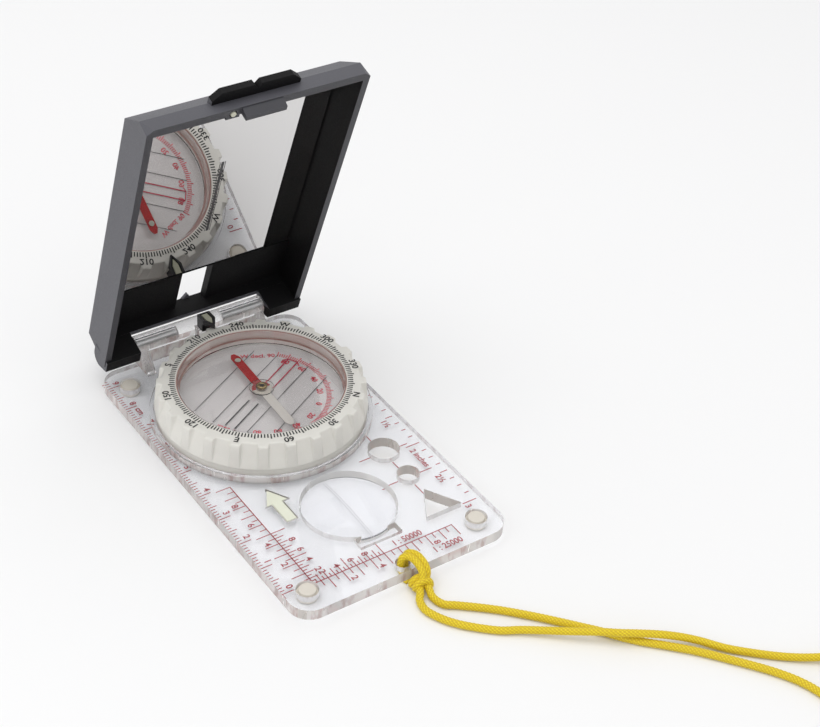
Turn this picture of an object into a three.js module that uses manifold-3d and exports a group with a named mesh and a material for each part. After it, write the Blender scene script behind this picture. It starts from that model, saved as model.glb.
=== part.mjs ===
// A mirror sighting compass: clear base plate with rulers, turning bezel with a liquid capsule
// and needle, folding mirror lid on two pins, and a braided neck cord.
//
// Millimetres, +Z up. The origin lies on the needle's pivot axis, on the underside of the base
// plate. +Y points from the cord end to the hinge and +X to the right as the user looks that way.
// The lid stands open, as it does when a bearing is read in the mirror.

import * as THREE from "three";
import { mergeVertices } from "three/addons/utils/BufferGeometryUtils.js";
import Module from "manifold-3d";

const wasm = await Module();
wasm.setup();

// ---------------------------------------------------------------- driving dimensions

const FIT_GAP = 0.3; // play between neighbouring pieces
const DEGREE = Math.PI / 180;

const PLATE = { halfWidth: 30.6, front: -70.1, back: 34.9, thick: 3.0, corner: 5.75 };
const SEAT = { inner: 28.2, outer: 29.3, top: 4.8 }; // rim round the bezel
const FOOT = { radius: 2.5, below: 1.2, top: 2.9, x: 24.55, frontY: -62.9, rearY: 27.35 };
const LENS = { radius: 12.0, centreY: -42.6, rimTop: 1.4, domeTop: 3.0 };
const BIG_HOLE = { x: 19.3, y: -29.3, radius: 4.2 };
const SMALL_HOLE = { x: 19.3, y: -40.6, radius: 2.95 };
const TRIANGLE_HOLE = [
  [19.2, -47.8],
  [14.0, -56.7],
  [24.4, -56.7],
];
const LATCH_SLOT = { halfWidth: 6.0, front: -57.6, back: -54.3, floor: 1.2 };
const ARROW = { x: -15.05, tail: -40.4, neck: -33.1, tip: -28.0, shaft: 1.35, head: 2.9, depth: 0.7 };
const CORD_HOLE = { x: -0.2, y: -67.0, radius: 1.9 };

const BEZEL = { bore: 22.2, rimRadius: 27.3, skirtRadius: 28.0, neckRadius: 27.8 };
const BEZEL_Z = { bottom: 3.4, neckTop: 6.0, skirt: 6.3, shoulder: 12.8, innerTop: 13.5 };
const GRIP = { count: 24, width: 4.3, topRadius: 25.75, footZ: 6.6, topZ: 13.2 };
const DIAL_TURN = -134.65 * DEGREE; // north mark, clockwise from +Y as seen from above

const DISC = { radius: 21.9, bottom: 3.4, top: 3.9 }; // declination disc under the capsule
const CAPSULE = { radius: 21.9, inner: 20.6, bottom: 4.2, floor: 4.9, wallTop: 12.0 };
const WINDOW = { bottom: 12.3, top: 13.1 };
const POST = { bottom: 5.2, top: 7.8, footRadius: 1.4 };
const NEEDLE = { half: 16.5, halfWidth: 1.25, tipHalf: 0.5, taper: 1.5, bottom: 7.5, top: 7.8 };
const NEEDLE_EYE = { radius: 1.5, boss: 2.6 };
const NEEDLE_TURN = -2.3 * DEGREE;
const LUME_DOT = { radius: 0.8, at: 13.4, bottom: 8.1, top: 8.3 };
const HUB = { radius: 3.3, bottom: 8.1, top: 8.8 };
const JEWEL = { radius: 1.5, bottom: 9.1, top: 10.1 };

const HINGE = { y: 34.4, z: 9.3, barrelRadius: 2.6, barrelHalf: 19.5 };
const PIN = { radius: 1.0, inner: 7.1, outer: 24.7, boreInner: 6.8, boreOuter: 25.0 };
const STRUT = { inner: 16.5, outer: 19.1, footY: 27.55, topY: 31.5, topZ: 8.4 };
const WEB = { front: 33.4, back: 34.9 };
const STAND = { halfWidth: 2.2, front: 29.6, back: 34.0, top: 11.0 }; // carries the index
const INDEX = { tipY: 24.7, shoulderY: 27.9, backY: 31.4, halfWidth: 1.85, top: 15.3 };
const INDEX_Z = { nose: 13.9, body: 11.3, inlayFloor: 14.7 };
const INLAY = { tipY: 26.1, shoulderY: 28.0, backY: 30.7, halfWidth: 0.85 };

// The lid's own frame is the shut lid: its origin is on the hinge axis, -Y runs to its free end
// and +Z to its outer face. `LID_OPEN` stands it up as it is used.
const LID_OPEN = 70.3 * DEGREE;
const LID = {
  rimHalf: 30.2, backHalf: 29.4, cavityHalf: 28.3, // half widths
  rim: -3.6, floor: 5.7, pocket: 7.15, back: 8.1, // heights over the hinge axis
  hingeEnd: 2.6, freeEnd: 90.3, length: 92.7, bevelStart: 85.2, // distances from the hinge axis
  slopeFoot: 0.4, slopeStart: 85.6, // the cavity's sloping end, inside the outer bevel
};
const LID_WINDOW = { halfWidth: 4.6, start: 2.6, end: 17.9 };
const LID_MIRROR = { halfWidth: 28.0, start: 18.4, end: 78.5, face: 5.83, back: 6.85 };
const BARREL_CUT = { half: 19.84, top: 2.9 };
const KNUCKLE = { radius: 2.7, inner: 19.84, outer: 29.9, toe: -4.4 };
const TAB = { halfWidth: 5.5, root: 91.9, tip: 91.0, thick: 1.5, bottom: -5.9 };
const SIGHT = { baseHalf: 12.0, topHalf: 9.6, base: 90.8, top: 95.3, notchHalf: 1.0, notch: 93.9 };
const SIGHT_Z = { low: -0.4, high: 1.4 };
const POST_SIGHT = { baseHalf: 1.55, base: 1.9, tip: 4.4, low: 7.7, high: 8.5 };
const LID_DOT = { x: -7.7, at: 91.0, radius: 0.7 };
const LID_LUG = { halfWidth: 1.8, start: 89.5, end: 92.0, thick: 1.4 }; // carries the dot

const CORD = { radius: 1.0, floorZ: -0.2 }; // floorZ is the middle of a cord on the floor
const KNOT = { x: 0.8, y: -73.0, z: 0.75, half: [3.0, 2.1, 1.9] };
const COIL = { x: 77.6, y: -161.4, inner: 7.0, outer: 15.1, bottom: -0.35, top: 3.85 };
const TIE = { halfWidth: 1.5, band: 0.5 };

// The cord's two strands, point by point from the knot to the coil; the left one crosses over.
const STRAND_LEFT = [
  [-1.0, -75.7, 0.5],
  [-2.2, -77.4, -0.15],
  [-2.75, -80.2, -0.2],
  [-1.9, -83.0, -0.2],
  [0.0, -86.5, -0.2],
  [3.1, -90.2, -0.2],
  [8.2, -94.8, -0.2],
  [12.4, -97.5, 0.1],
  [16.0, -100.3, 0.5],
  [21.3, -104.8, 1.3],
  [26.7, -109.0, 1.95],
  [30.4, -111.9, 2.15],
  [34.4, -114.4, 2.05],
  [38.5, -116.8, 1.65],
  [42.4, -119.4, 1.1],
  [46.1, -122.4, 0.4],
  [51.2, -128.0, -0.2],
  [60.0, -136.0, -0.2],
  [67.5, -141.6, 0.6],
  [74.5, -144.9, 2.0],
];
const STRAND_RIGHT = [
  [1.6, -75.5, 0.5],
  [1.2, -77.3, -0.1],
  [1.3, -79.2, -0.2],
  [2.2, -81.3, -0.2],
  [4.6, -83.1, -0.2],
  [8.9, -86.6, -0.2],
  [12.4, -89.7, -0.2],
  [15.7, -93.0, -0.2],
  [19.0, -96.5, -0.2],
  [22.2, -100.1, -0.2],
  [25.3, -103.7, -0.2],
  [28.4, -107.3, -0.2],
  [31.3, -111.2, -0.2],
  [34.4, -114.8, -0.2],
  [37.8, -118.1, -0.2],
  [41.1, -121.4, -0.2],
  [44.2, -124.7, -0.2],
  [48.9, -130.5, -0.2],
  [54.9, -138.5, -0.2],
  [58.5, -145.4, -0.2],
  [60.6, -154.0, 0.3],
];
// The loop from the knot over the plate's end, down through the hole and back under the plate.
const LOOP_ROUTE = [
  [2.3, -72.6, 3.6],
  [2.2, -71.6, 4.4],
  [2.1, -70.2, 5.0],
  [1.8, -68.6, 5.2],
  [1.0, -67.2, 5.0],
  [0.1, -66.8, 4.2],
  [-0.2, -66.9, 3.0],
  [-0.2, -67.0, 1.5],
  [-0.2, -67.1, 0.0],
  [-0.1, -67.6, -1.2],
  [0.1, -68.8, -1.5],
  [0.3, -70.2, -1.5],
];
const UNDER_PLATE = { clear: 0.3, squash: 0.42 }; // the plate presses the loop flat

// ---------------------------------------------------------------- helpers

// A closed three.js geometry as a solid that can be joined and cut.
function solid(geometry) {
  const bare = geometry.clone();
  bare.deleteAttribute("normal");
  bare.deleteAttribute("uv");
  const merged = mergeVertices(bare, 1e-4);
  return new wasm.Manifold(
    new wasm.Mesh({
      numProp: 3,
      vertProperties: new Float32Array(merged.attributes.position.array),
      triVerts: new Uint32Array(merged.index.array),
    }),
  );
}

// A solid back as a three.js geometry.
function geometryOf(body) {
  const mesh = body.getMesh();
  const geometry = new THREE.BufferGeometry();
  geometry.setAttribute("position", new THREE.BufferAttribute(mesh.vertProperties, 3));
  geometry.setIndex(new THREE.BufferAttribute(mesh.triVerts, 1));
  geometry.computeVertexNormals();
  return geometry;
}

const union = (first, ...rest) => rest.reduce((sum, item) => sum.add(item), first);
const cut = (first, ...rest) => rest.reduce((sum, item) => sum.subtract(item), first);

// A box between two corners.
function box(low, high) {
  const size = high.map((value, axis) => value - low[axis]);
  const centre = high.map((value, axis) => (value + low[axis]) / 2);
  return solid(new THREE.BoxGeometry(...size).translate(...centre));
}

// A round bar along Z.
function bar(x, y, radius, bottom, top, sides = 48) {
  const geometry = new THREE.CylinderGeometry(radius, radius, top - bottom, sides);
  return solid(geometry.rotateX(Math.PI / 2).translate(x, y, (bottom + top) / 2));
}

// A round bar along X, centred on (y, z).
function crossBar(y, z, radius, left, right, sides = 40) {
  const geometry = new THREE.CylinderGeometry(radius, radius, right - left, sides);
  return solid(geometry.rotateZ(Math.PI / 2).translate((left + right) / 2, y, z));
}

// A flat outline in X and Y raised from bottom to top.
function slab(outline, bottom, top) {
  const shape = outline instanceof THREE.Shape ? outline : shapeOf(outline);
  const geometry = new THREE.ExtrudeGeometry(shape, { depth: top - bottom, bevelEnabled: false });
  return solid(geometry.translate(0, 0, bottom));
}

// An outline in Y and Z drawn across from left to right.
function crossSlab(outline, left, right) {
  const shape = shapeOf(outline);
  const geometry = new THREE.ExtrudeGeometry(shape, { depth: right - left, bevelEnabled: false });
  geometry.rotateY(Math.PI / 2).rotateX(Math.PI / 2);
  return solid(geometry.translate(left, 0, 0));
}

function shapeOf(points) {
  return new THREE.Shape(points.map(([x, y]) => new THREE.Vector2(x, y)));
}

// A solid of revolution about Z from [radius, z] points.
function lathe(points, sides = 96) {
  const profile = points.map(([radius, z]) => new THREE.Vector2(radius, z));
  const closed = points[0][0] === 0 ? profile : [...profile, profile[0]];
  return solid(new THREE.LatheGeometry(closed, sides).rotateX(Math.PI / 2));
}

function roundedRectangle(halfWidth, low, high, radius) {
  const shape = new THREE.Shape();
  shape.moveTo(-halfWidth + radius, low);
  shape.absarc(halfWidth - radius, low + radius, radius, -Math.PI / 2, 0);
  shape.absarc(halfWidth - radius, high - radius, radius, 0, Math.PI / 2);
  shape.absarc(-halfWidth + radius, high - radius, radius, Math.PI / 2, Math.PI);
  shape.absarc(-halfWidth + radius, low + radius, radius, Math.PI, 1.5 * Math.PI);
  return shape;
}

// A tube of round section along a smooth curve through the points.
function tube(points, radius, steps, sides = 8) {
  const route = new THREE.CatmullRomCurve3(points.map((point) => new THREE.Vector3(...point)));
  const ring = Array.from({ length: sides }, (_, i) => {
    const angle = ((i + 0.5) / sides) * 2 * Math.PI;
    return new THREE.Vector2(radius * Math.cos(angle), radius * Math.sin(angle));
  });
  return new THREE.ExtrudeGeometry(new THREE.Shape(ring), { steps, extrudePath: route });
}

const look = (color, roughness, metalness = 0, extra = {}) =>
  new THREE.MeshStandardMaterial({ color, roughness, metalness, ...extra });

const CLEAR = { transparent: true, opacity: 0.35 };
const LOOKS = {
  acrylic: () => look("#e6e8ea", 0.08, 0, CLEAR),
  print: () => look("#c8464b", 0.5),
  rubber: () => look("#cdc8be", 0.8),
  lume: () => look("#e2e4cd", 0.6),
  blackPlastic: () => look("#1c1b1d", 0.45),
  bezelPlastic: () => look("#e1e0da", 0.55),
  needlePaint: () => look("#be1919", 0.4),
  brass: () => look("#b8995a", 0.3, 1),
  steel: () => look("#b9bcc0", 0.25, 1),
  lidPlastic: () => look("#55555b", 0.6),
  mirror: () => look("#e8eaec", 0.03, 1),
  cord: () => look("#ebc814", 0.85),
  tie: () => look("#26262a", 0.6),
};

function piece(name, shape, material) {
  const geometry = shape instanceof THREE.BufferGeometry ? shape : geometryOf(shape);
  const mesh = new THREE.Mesh(geometry, material);
  mesh.name = name;
  return mesh;
}

// ---------------------------------------------------------------- base

function basePlate() {
  const { halfWidth, front, back, thick, corner } = PLATE;
  const outline = roundedRectangle(halfWidth, front, back, corner);
  const seat = lathe([
    [SEAT.inner, thick - 0.5],
    [SEAT.outer, thick - 0.5],
    [SEAT.outer, SEAT.top],
    [SEAT.inner, SEAT.top],
  ]);
  const footHoles = footPlaces().map(({ x, y }) => bar(x, y, FOOT.radius + FIT_GAP, -1, 4));
  return cut(
    union(slab(outline, 0, thick), seat),
    ...footHoles,
    bar(0, LENS.centreY, LENS.radius + FIT_GAP, -1, 4, 72),
    bar(BIG_HOLE.x, BIG_HOLE.y, BIG_HOLE.radius, -1, 4),
    bar(SMALL_HOLE.x, SMALL_HOLE.y, SMALL_HOLE.radius, -1, 4),
    slab(TRIANGLE_HOLE, -1, 4),
    latchSlot(),
    slab(arrowOutline(FIT_GAP), thick - ARROW.depth - FIT_GAP, 4),
    bar(CORD_HOLE.x, CORD_HOLE.y, CORD_HOLE.radius, -1, 4),
  );
}

function latchSlot() {
  const { halfWidth, front, back, floor } = LATCH_SLOT;
  return box([-halfWidth, front, floor], [halfWidth, back, 4]);
}

function footPlaces() {
  return [
    { name: "foot_front_left", x: -FOOT.x, y: FOOT.frontY },
    { name: "foot_front_right", x: FOOT.x, y: FOOT.frontY },
    { name: "foot_rear_left", x: -FOOT.x, y: FOOT.rearY },
    { name: "foot_rear_right", x: FOOT.x, y: FOOT.rearY },
  ];
}

function foot({ x, y }) {
  const { radius, below, top } = FOOT;
  const plug = lathe(
    [
      [0, -below],
      [radius - 0.4, -below],
      [radius, -below + 0.4],
      [radius, top],
      [0, top],
    ],
    32,
  );
  return plug.translate([x, y, 0]);
}

// The lens sits below the plate's top at its rim and is flush with it at the crown and underneath.
function magnifierLens() {
  const { radius, centreY, rimTop, domeTop } = LENS;
  const steps = 8;
  const dome = Array.from({ length: steps + 1 }, (_, i) => {
    const r = radius * (1 - i / steps);
    return [r, domeTop - (domeTop - rimTop) * (r / radius) ** 2];
  });
  return lathe([[0, 0], [radius, 0], ...dome], 72).translate([0, centreY, 0]);
}

function arrowOutline(grow = 0) {
  const { x, tail, neck, tip, shaft, head } = ARROW;
  return [
    [x - shaft - grow, tail - grow],
    [x + shaft + grow, tail - grow],
    [x + shaft + grow, neck - grow],
    [x + head + 2 * grow, neck - grow],
    [x, tip + 2 * grow],
    [x - head - 2 * grow, neck - grow],
    [x - shaft - grow, neck - grow],
  ];
}

function directionArrow() {
  const top = PLATE.thick - 0.1;
  return slab(arrowOutline(), PLATE.thick - ARROW.depth, top);
}

// Clear moulding on the plate's back edge: two struts, a web, the hinge barrel and the stand
// that carries the index.
function hingeBracket() {
  const foot = PLATE.thick + FIT_GAP;
  const strut = [
    [STRUT.footY, foot],
    [WEB.back, foot],
    [WEB.back, HINGE.z - 2],
    [HINGE.y, HINGE.z],
    [STRUT.topY + 0.6, HINGE.z],
    [STRUT.topY, STRUT.topZ],
  ];
  const bores = [-1, 1].map((side) =>
    crossBar(HINGE.y, HINGE.z, PIN.radius + FIT_GAP, ...span(side, PIN.boreInner, 21), 24),
  );
  return cut(
    union(
      crossBar(HINGE.y, HINGE.z, HINGE.barrelRadius, -HINGE.barrelHalf, HINGE.barrelHalf, 40),
      crossSlab(strut, STRUT.inner, STRUT.outer),
      crossSlab(strut, -STRUT.outer, -STRUT.inner),
      box([-STRUT.outer, WEB.front, foot], [STRUT.outer, WEB.back, HINGE.z - 1.5]),
      box([-STAND.halfWidth, STAND.front, foot], [STAND.halfWidth, STAND.back, STAND.top]),
    ),
    ...bores,
  );
}

// The pair [left, right] of a stretch on one side of the middle.
function span(side, inner, outer) {
  return side < 0 ? [-outer, -inner] : [inner, outer];
}

// A pointer's outline: square back, straight flanks and a point towards the dial.
function pointerOutline({ tipY, shoulderY, backY, halfWidth }, grow = 0) {
  return [
    [-halfWidth - grow, backY + grow],
    [-halfWidth - grow, shoulderY],
    [0, tipY - 2 * grow],
    [halfWidth + grow, shoulderY],
    [halfWidth + grow, backY + grow],
  ];
}

function indexPointer() {
  const underNose = box([-3, INDEX.tipY - 1, INDEX_Z.body - 1], [3, 28.4, INDEX_Z.nose]);
  return cut(
    slab(pointerOutline(INDEX), INDEX_Z.body, INDEX.top),
    underNose,
    slab(pointerOutline(INLAY, FIT_GAP), INDEX_Z.inlayFloor - FIT_GAP, INDEX.top + 1),
  );
}

const indexInlay = () => slab(pointerOutline(INLAY), INDEX_Z.inlayFloor, INDEX.top - 0.1);

function base() {
  const group = new THREE.Group();
  group.add(
    piece("base_plate", basePlate(), LOOKS.acrylic()),
    piece("magnifier_lens", magnifierLens(), LOOKS.acrylic()),
    piece("direction_arrow", directionArrow(), LOOKS.lume()),
    ...footPlaces().map((place) => piece(place.name, foot(place), LOOKS.rubber())),
    piece("hinge_bracket", hingeBracket(), LOOKS.acrylic()),
    piece("index_pointer", indexPointer(), LOOKS.blackPlastic()),
    piece("index_inlay", indexInlay(), LOOKS.lume()),
  );
  return group;
}

// ---------------------------------------------------------------- dial

// One grip recess: a sloping flat that starts at the bezel's top face and runs out at its skirt.
function gripCutter(angle) {
  const { width, topRadius, footZ, topZ } = GRIP;
  const slope = Math.atan2(BEZEL.skirtRadius - topRadius, topZ - footZ);
  const block = new THREE.BoxGeometry(width, 8, 20).translate(0, 4, 0);
  block.rotateX(slope).translate(0, topRadius, topZ).rotateZ(angle);
  return solid(block);
}

function bezelRing() {
  const ring = lathe([
    [BEZEL.bore, BEZEL_Z.bottom],
    [BEZEL.neckRadius, BEZEL_Z.bottom],
    [BEZEL.neckRadius, BEZEL_Z.neckTop],
    [BEZEL.skirtRadius, BEZEL_Z.skirt],
    [BEZEL.rimRadius, BEZEL_Z.shoulder],
    [BEZEL.rimRadius - 0.35, 13.15],
    [BEZEL.bore + 0.3, BEZEL_Z.innerTop],
    [BEZEL.bore, BEZEL_Z.innerTop - 0.2],
  ]);
  const step = (2 * Math.PI) / GRIP.count;
  const grips = Array.from({ length: GRIP.count }, (_, i) => gripCutter((i + 0.5) * step));
  return cut(ring, ...grips);
}

function capsuleCup() {
  const { radius, inner, bottom, floor, wallTop } = CAPSULE;
  return lathe([
    [0, bottom],
    [radius, bottom],
    [radius, wallTop],
    [inner, wallTop],
    [inner, floor],
    [0, floor],
  ]);
}

function pivotPost() {
  const { bottom, top, footRadius } = POST;
  return lathe(
    [
      [0, bottom],
      [footRadius, bottom],
      [footRadius - 0.3, bottom + 0.8],
      [0.5, top - 0.6],
      [0, top],
    ],
    24,
  );
}

// A flat strip with blunt points, widened round the eye that the pivot stands in.
function needleBlade() {
  const { half, halfWidth, tipHalf, taper, bottom, top } = NEEDLE;
  const outline = [
    [tipHalf, half],
    [-tipHalf, half],
    [-halfWidth, half - taper],
    [-halfWidth, -half + taper],
    [-tipHalf, -half],
    [tipHalf, -half],
    [halfWidth, -half + taper],
    [halfWidth, half - taper],
  ];
  const strip = union(slab(outline, bottom, top), bar(0, 0, NEEDLE_EYE.boss, bottom, top, 40));
  return cut(strip, bar(0, 0, NEEDLE_EYE.radius, bottom - 1, top + 1, 24));
}

const disc = (radius, bottom, top, sides = 96) => bar(0, 0, radius, bottom, top, sides);

function dial() {
  const bezel = new THREE.Group();
  bezel.rotation.z = DIAL_TURN;
  bezel.add(
    piece("bezel_ring", bezelRing(), LOOKS.bezelPlastic()),
    piece("declination_disc", disc(DISC.radius, DISC.bottom, DISC.top), LOOKS.acrylic()),
  );
  const capsule = new THREE.Group();
  capsule.add(
    piece("capsule_cup", capsuleCup(), LOOKS.acrylic()),
    piece("capsule_window", disc(CAPSULE.radius, WINDOW.bottom, WINDOW.top), LOOKS.acrylic()),
    piece("pivot_post", pivotPost(), LOOKS.steel()),
  );
  const needle = new THREE.Group();
  needle.rotation.z = NEEDLE_TURN;
  const dot = bar(0, LUME_DOT.at, LUME_DOT.radius, LUME_DOT.bottom, LUME_DOT.top, 24);
  needle.add(
    piece("needle_blade", needleBlade(), LOOKS.needlePaint()),
    piece("needle_lume_dot", dot, LOOKS.lume()),
    piece("needle_hub", disc(HUB.radius, HUB.bottom, HUB.top, 40), LOOKS.acrylic()),
    piece("jewel_cap", disc(JEWEL.radius, JEWEL.bottom, JEWEL.top, 32), LOOKS.brass()),
  );
  const group = new THREE.Group();
  group.add(bezel, capsule, needle);
  return group;
}

// ---------------------------------------------------------------- lid

// The lid's outer block: its side profile, cut to its tapering front view and its plan.
function lidBlock() {
  const { rimHalf, backHalf, rim, back, length, bevelStart } = LID;
  const side = [
    [-0.6, rim],
    [-length, rim],
    [-length + 1.0, 0.8],
    [-bevelStart - 0.4, back - 0.5],
    [-bevelStart + 0.6, back],
    [-2.3, back],
    [-1.4, back - 0.7],
    [-0.8, 0.8],
  ];
  const front = shapeOf([
    [-rimHalf, rim - 1],
    [rimHalf, rim - 1],
    [rimHalf - 0.4, 0.8],
    [backHalf, back - 0.6],
    [backHalf - 0.7, back],
    [backHalf - 0.7, back + 1],
    [-backHalf + 0.7, back + 1],
    [-backHalf + 0.7, back],
    [-backHalf, back - 0.6],
    [-rimHalf + 0.4, 0.8],
  ]);
  const frontView = new THREE.ExtrudeGeometry(front, { depth: 120, bevelEnabled: false });
  frontView.rotateX(Math.PI / 2).translate(0, 10, 0);
  const plan = [
    [-rimHalf - 1, 5],
    [-rimHalf - 1, -length + 2.2],
    [-rimHalf + 1.8, -length],
    [rimHalf - 1.8, -length],
    [rimHalf + 1, -length + 2.2],
    [rimHalf + 1, 5],
  ];
  return crossSlab(side, -rimHalf, rimHalf)
    .intersect(solid(frontView))
    .intersect(slab(plan, -20, 20));
}

// An ear of the lid: a knuckle round the hinge axis that runs into the lid's end wall.
function knuckle(side) {
  const { radius, inner, outer, toe } = KNUCKLE;
  const web = [
    [0.9, toe],
    [2.4, -1.2],
    [0, radius],
    [-2.8, radius],
    [-2.8, toe],
  ];
  const ends = span(side, inner, outer);
  return union(crossBar(0, 0, radius, ...ends, 32), crossSlab(web, ...ends));
}

// The notched ridge that is looked over, on the lid's free end.
function notchedRidge() {
  const { baseHalf, topHalf, base, top, notchHalf, notch } = SIGHT;
  const outline = [
    [-baseHalf, -base],
    [-baseHalf, -93.2],
    [-topHalf, -top],
    [-notchHalf, -top],
    [0, -notch],
    [notchHalf, -top],
    [topHalf, -top],
    [baseHalf, -93.2],
    [baseHalf, -base],
  ];
  return slab(outline, SIGHT_Z.low, SIGHT_Z.high);
}

function sightPost() {
  const { baseHalf, base, tip, low, high } = POST_SIGHT;
  const outline = [
    [-baseHalf, -base],
    [0, -tip],
    [baseHalf, -base],
  ];
  return slab(outline, low, high);
}

// The tab leans in a little, so that it drops into the slot of the plate.
function latchTab() {
  const { halfWidth, root, tip, thick, bottom } = TAB;
  const profile = [
    [-root + thick, LID.rim + 0.6],
    [-tip + 0.7, bottom],
    [-tip - 0.6, bottom],
    [-root - 0.6, LID.rim + 0.6],
  ];
  return crossSlab(profile, -halfWidth, halfWidth);
}

function lidShell() {
  const { cavityHalf, rim, floor, pocket, hingeEnd, freeEnd, slopeFoot, slopeStart } = LID;
  const low = rim - 6;
  const wide = LID_WINDOW.halfWidth;
  const cavity = [
    [-hingeEnd, low],
    [-freeEnd, low],
    [-freeEnd, slopeFoot],
    [-slopeStart, floor],
    [-hingeEnd, floor],
  ];
  const bores = [-1, 1].map((side) =>
    crossBar(0, 0, PIN.radius + FIT_GAP, ...span(side, 15, PIN.boreOuter), 24),
  );
  const hollow = cut(
    lidBlock(),
    crossSlab(cavity, -cavityHalf, cavityHalf),
    box([-cavityHalf, -LID_MIRROR.end - FIT_GAP, 0], [cavityHalf, -LID_MIRROR.start + FIT_GAP, pocket]),
    box([-wide, -LID_WINDOW.end, 0], [wide, -LID_WINDOW.start, 10]),
    box([-BARREL_CUT.half, -3.2, low], [BARREL_CUT.half, 4, BARREL_CUT.top]),
  );
  const lug = box(
    [LID_DOT.x - LID_LUG.halfWidth, -LID_LUG.end, rim],
    [LID_DOT.x + LID_LUG.halfWidth, -LID_LUG.start, rim + LID_LUG.thick],
  );
  const dotHole = bar(LID_DOT.x, -LID_DOT.at, LID_DOT.radius + FIT_GAP, rim - 1, rim + 0.7, 24);
  const whole = union(
    hollow,
    knuckle(-1),
    knuckle(1),
    notchedRidge(),
    sightPost(),
    latchTab(),
    lug,
  );
  return cut(whole, dotHole, ...bores);
}

function lidMirror() {
  const { halfWidth, start, end, face, back } = LID_MIRROR;
  return box([-halfWidth, -end, face], [halfWidth, -start, back]);
}

function lid() {
  const group = new THREE.Group();
  group.position.set(0, HINGE.y, HINGE.z);
  group.rotation.x = -LID_OPEN;
  const dot = bar(LID_DOT.x, -LID_DOT.at, LID_DOT.radius, LID.rim - 0.3, LID.rim + 0.4, 24);
  group.add(
    piece("lid_shell", lidShell(), LOOKS.lidPlastic()),
    piece("mirror", lidMirror(), LOOKS.mirror()),
    piece("lid_lume_dot", dot, LOOKS.lume()),
    piece("hinge_pin_left", crossBar(0, 0, PIN.radius, ...span(-1, PIN.inner, PIN.outer), 20), LOOKS.steel()),
    piece("hinge_pin_right", crossBar(0, 0, PIN.radius, ...span(1, PIN.inner, PIN.outer), 20), LOOKS.steel()),
  );
  return group;
}

// ---------------------------------------------------------------- neck cord

function cordLoop() {
  const geometry = tube(LOOP_ROUTE, CORD.radius, 22);
  const place = geometry.attributes.position;
  const { clear, squash } = UNDER_PLATE;
  for (let i = 0; i < place.count; i += 1) {
    const z = place.getZ(i);
    if (z < -clear) place.setZ(i, -clear + squash * (z + clear));
  }
  return geometry;
}

function cordKnot() {
  const { x, y, z, half } = KNOT;
  return solid(new THREE.SphereGeometry(1, 16, 10).scale(...half).translate(x, y, z));
}

function cordCoil() {
  const { x, y, inner, outer, bottom, top } = COIL;
  const ring = lathe(
    [
      [inner, bottom],
      [outer, bottom],
      [outer, top],
      [inner, top],
    ],
    32,
  );
  return ring.translate([x, y, 0]);
}

// A band wrapped once round the coil's turns.
function coilTie() {
  const { x, y, inner, outer, bottom, top } = COIL;
  const reach = FIT_GAP + TIE.band;
  const { halfWidth } = TIE;
  const band = box([inner - reach, -halfWidth, bottom - reach], [outer + reach, halfWidth, top + reach]);
  const inside = box(
    [inner - FIT_GAP - 0.2, -halfWidth - 1, bottom - FIT_GAP],
    [outer + FIT_GAP, halfWidth + 1, top + FIT_GAP],
  );
  return cut(band, inside).translate([x, y, 0]);
}

function neckCord() {
  const group = new THREE.Group();
  group.add(
    piece("cord_loop", cordLoop(), LOOKS.cord()),
    piece("cord_knot", cordKnot(), LOOKS.cord()),
    piece("cord_strand_left", tube(STRAND_LEFT, CORD.radius, 30), LOOKS.cord()),
    piece("cord_strand_right", tube(STRAND_RIGHT, CORD.radius, 30), LOOKS.cord()),
    piece("cord_coil", cordCoil(), LOOKS.cord()),
    piece("coil_tie", coilTie(), LOOKS.tie()),
  );
  return group;
}

const compass = new THREE.Group();
compass.add(base(), dial(), lid(), neckCord());

export default compass;
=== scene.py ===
"""A mirror sighting compass with its neck cord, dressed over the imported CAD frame.

Blender units are metres; the dimensions below are millimetres unless a comment says otherwise.
+Z is up, the origin lies on the needle's axis at the plate's underside and +Y points to the hinge.
"""

import math

import bmesh
import bpy
from mathutils import Matrix, Vector


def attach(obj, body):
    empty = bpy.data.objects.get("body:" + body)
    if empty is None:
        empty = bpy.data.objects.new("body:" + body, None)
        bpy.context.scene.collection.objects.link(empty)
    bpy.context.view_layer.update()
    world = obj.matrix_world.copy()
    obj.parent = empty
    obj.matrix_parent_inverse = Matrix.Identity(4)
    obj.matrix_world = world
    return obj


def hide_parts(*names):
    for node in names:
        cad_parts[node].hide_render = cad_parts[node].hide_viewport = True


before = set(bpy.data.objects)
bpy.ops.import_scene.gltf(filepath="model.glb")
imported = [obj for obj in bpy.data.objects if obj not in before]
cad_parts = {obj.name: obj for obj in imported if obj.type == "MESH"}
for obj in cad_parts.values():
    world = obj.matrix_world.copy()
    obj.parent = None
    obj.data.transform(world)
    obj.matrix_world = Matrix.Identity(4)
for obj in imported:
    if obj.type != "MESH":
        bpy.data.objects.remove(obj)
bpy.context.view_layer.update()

MM = 0.001
TAU = 2 * math.pi

FLOOR_Z = -1.2  # the feet stand on the floor
PRINT_Z = 0.02  # the rulers are printed this far above the plate's underside
PRINT_THICK = 0.03
PLATE_EDGE = {"x": 29.9, "front": -68.9, "back": 33.9}  # beyond these lie the plate's outer walls
DIAL_TURN = -134.65  # degrees anticlockwise from +Y, the bezel's north mark
NEEDLE_TURN = -2.3  # degrees anticlockwise from +Y, the needle's red end
HINGE = Vector((0, 34.4, 9.3))
LID_OPEN = math.radians(70.3)  # how far the lid stands from shut


def in_scene(name, data):
    """A new object in the scene."""
    made = bpy.data.objects.new(name, data)
    bpy.context.scene.collection.objects.link(made)
    return made


# -------- camera

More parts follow.
